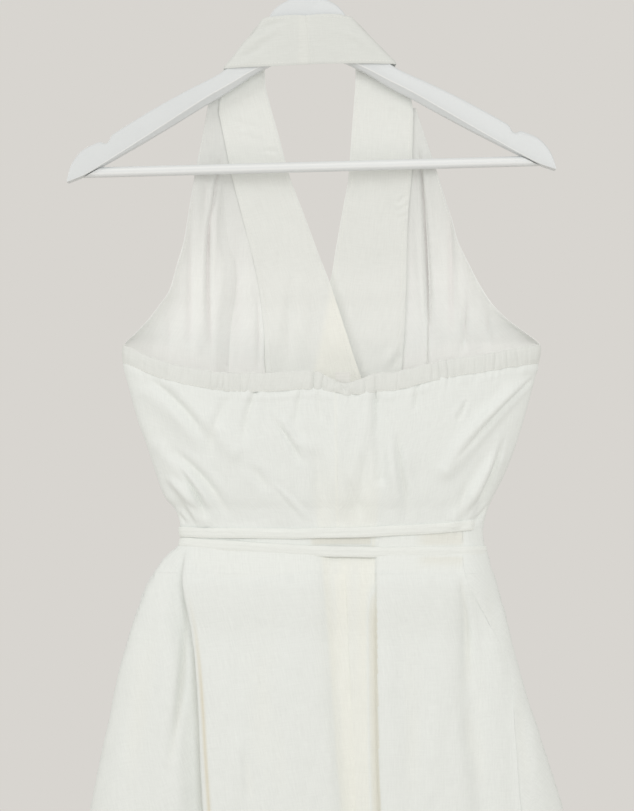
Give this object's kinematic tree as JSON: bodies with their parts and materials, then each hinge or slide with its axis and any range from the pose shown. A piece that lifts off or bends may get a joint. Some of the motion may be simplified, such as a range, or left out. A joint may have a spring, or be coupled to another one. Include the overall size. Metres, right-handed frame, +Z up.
{
  "type": "halter dress on a hanger",
  "caption": "Linen halter dress with a wrapped front, elasticated back edge, waist ties and flared skirt, hung by its neck band on a flat wooden hanger with a trouser bar and a wire hook.",
  "frame": {"origin": "where the hanger's hook rests on a rail: the inside of the hook's top", "axes": "+Z up, +X to the right of somebody who faces the dress's back, +Y towards the dress's front"},
  "size_m": [0.664, 0.1417, 1.2942],
  "materials": {
    "linen": "plain-woven linen with slubs, off-white, matt",
    "label": "plain woven tape, blank",
    "hanger_paint": "white satin paint on wood",
    "hook_steel": "bright plated wire"
  },
  "bodies": {
    "root": {"band_left": "linen", "band_right": "linen", "front_bodice_left": "linen", "front_bodice_right": "linen", "back_casing": "linen", "back_bodice_left": "linen", "back_bodice_right": "linen", "waistband_back": "linen", "waistband_inner": "linen", "waistband_outer": "linen", "tie_upper": "linen", "tie_lower": "linen", "tie_knot": "linen", "tie_end_left": "linen", "tie_end_right": "linen", "neck_label": "label", "skirt_back_left": "linen", "skirt_back_right": "linen", "skirt_front_inner": "linen", "skirt_front_outer": "linen", "hanger_body": "hanger_paint", "hanger_bar": "hanger_paint", "hanger_hook": "hook_steel"}
  },
  "joints": []
}
